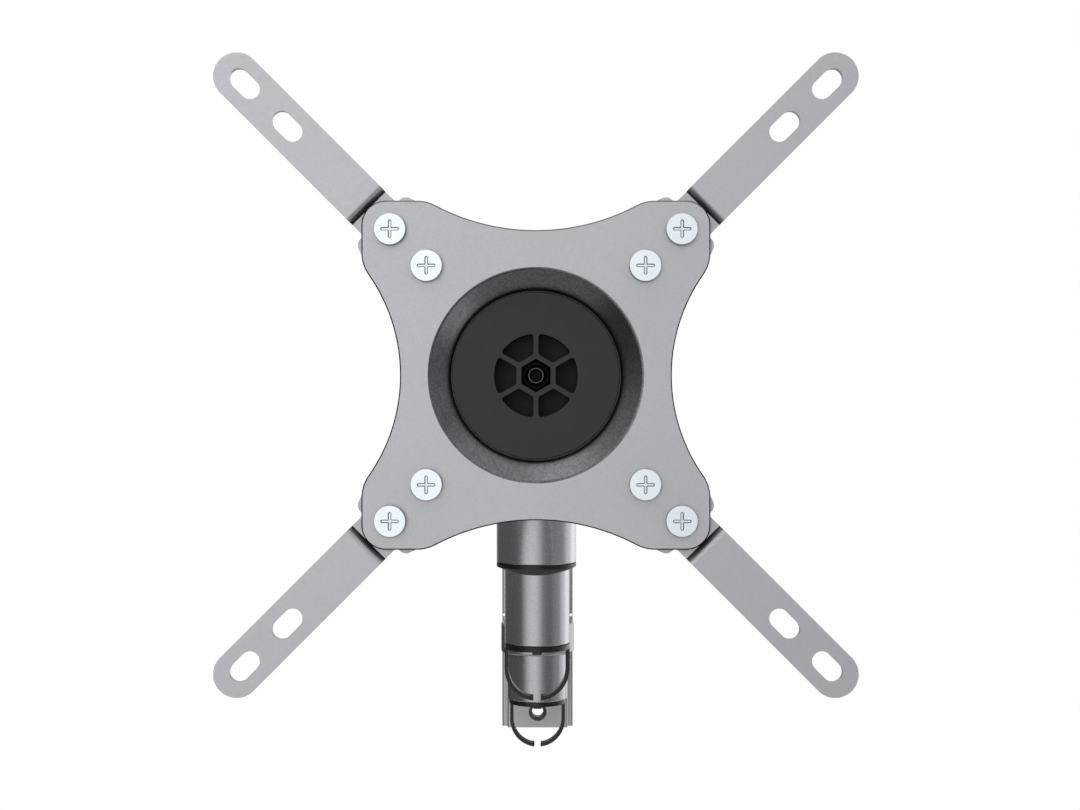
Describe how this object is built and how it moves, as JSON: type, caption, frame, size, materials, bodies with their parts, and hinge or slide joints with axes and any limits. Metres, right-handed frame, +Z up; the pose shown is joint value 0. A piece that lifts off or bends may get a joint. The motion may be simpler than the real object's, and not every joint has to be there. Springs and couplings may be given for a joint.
{
  "type": "tv wall mount",
  "caption": "Full-motion wall mount: wall plate, folding arms, tilting head and a dished square plate with cranked slotted extension arms.",
  "frame": {"origin": "on the wall, midway between the two wall holes", "axes": "+Z up, +X to the right seen from the display side, -Y out of the wall towards the display"},
  "size_m": [0.2214, 0.4101, 0.3152],
  "materials": {
    "profile": "satin silver",
    "casting": "glossy metallic silver",
    "bracket": "silver-grey paint",
    "sheet_paint": "fine-grained silver-grey paint",
    "screw_zinc": "bright zinc",
    "steel": "plated",
    "nylon": "natural nylon",
    "black_cap": "satin black",
    "disc": "satin dark grey",
    "black_steel": "black oxide"
  },
  "bodies": {
    "wall_side": {"wall_plate": "profile", "wall_bracket": "casting", "bracket_screws": "steel", "wall_pivot_bolt": "steel", "wall_pivot_nut": "steel", "wall_pivot_washers": "steel", "wall_pivot_glide_washer": "nylon", "wall_cap_clip": "black_cap"},
    "rear_link": {"rear_arm": "casting", "wall_pivot_bushes": "nylon", "wall_top_cap": "black_cap", "elbow_pivot_bolt": "steel", "elbow_pivot_nut": "steel", "elbow_pivot_washers": "steel", "elbow_pivot_glide_washer": "nylon", "elbow_cap_clip": "black_cap"},
    "front_link": {"front_arm": "casting", "elbow_pivot_bushes": "nylon", "elbow_top_cap": "black_cap", "head_pivot_bolt": "steel", "head_pivot_nut": "steel", "head_pivot_washers": "steel", "head_pivot_glide_washer": "nylon", "head_end_cap": "black_cap"},
    "head_link": {"head_post": "casting", "head_pivot_bushes": "nylon", "head_top_cap": "black_cap"},
    "tilt_head": {"tilt_bracket": "bracket", "tilt_bolt": "steel", "tilt_nut": "steel", "tilt_friction_washers": "nylon", "tilt_washers": "steel", "clamp_disc": "disc", "hub_nut": "black_steel", "hub_bolt": "black_steel", "dish_friction_ring": "nylon"},
    "front_face": {"front_plate": "sheet_paint", "inner_screws": "screw_zinc", "outer_screws": "screw_zinc", "inner_nuts": "steel", "outer_nuts": "steel"},
    "ext_upper_right": {"arm_upper_right": "sheet_paint"},
    "ext_upper_left": {"arm_upper_left": "sheet_paint"},
    "ext_lower_left": {"arm_lower_left": "sheet_paint"},
    "ext_lower_right": {"arm_lower_right": "sheet_paint"}
  },
  "joints": [
    {"name": "wall_swivel", "type": "hinge", "parent": "wall_side", "child": "rear_link", "pos_m": [0, -0.043, 0.0167], "axis": [0, 0, 1], "range_deg": [-90, 90]},
    {"name": "elbow_swivel", "type": "hinge", "parent": "rear_link", "child": "front_link", "pos_m": [0, -0.188, 0.0695], "axis": [0, 0, 1], "range_deg": [-165, 165]},
    {"name": "head_swivel", "type": "hinge", "parent": "front_link", "child": "head_link", "pos_m": [0, -0.333, 0.1223], "axis": [0, 0, 1], "range_deg": [-90, 90]},
    {"name": "head_tilt", "type": "hinge", "parent": "head_link", "child": "tilt_head", "pos_m": [0, -0.37, 0.1421], "axis": [1, 0, 0], "range_deg": [-15, 15]},
    {"name": "plate_roll", "type": "hinge", "parent": "tilt_head", "child": "front_face", "pos_m": [0, -0.399, 0.1421], "axis": [0, 1, 0], "range_deg": [-90, 90]},
    {"name": "ext_upper_right_swing", "type": "hinge", "parent": "front_face", "child": "ext_upper_right", "pos_m": [0.05, -0.405, 0.1921], "axis": [0, 1, 0], "range_deg": [-45, 45]},
    {"name": "ext_upper_left_swing", "type": "hinge", "parent": "front_face", "child": "ext_upper_left", "pos_m": [-0.05, -0.405, 0.1921], "axis": [0, 1, 0], "range_deg": [-45, 45]},
    {"name": "ext_lower_left_swing", "type": "hinge", "parent": "front_face", "child": "ext_lower_left", "pos_m": [-0.05, -0.405, 0.0921], "axis": [0, 1, 0], "range_deg": [-45, 45]},
    {"name": "ext_lower_right_swing", "type": "hinge", "parent": "front_face", "child": "ext_lower_right", "pos_m": [0.05, -0.405, 0.0921], "axis": [0, 1, 0], "range_deg": [-45, 45]}
  ]
}
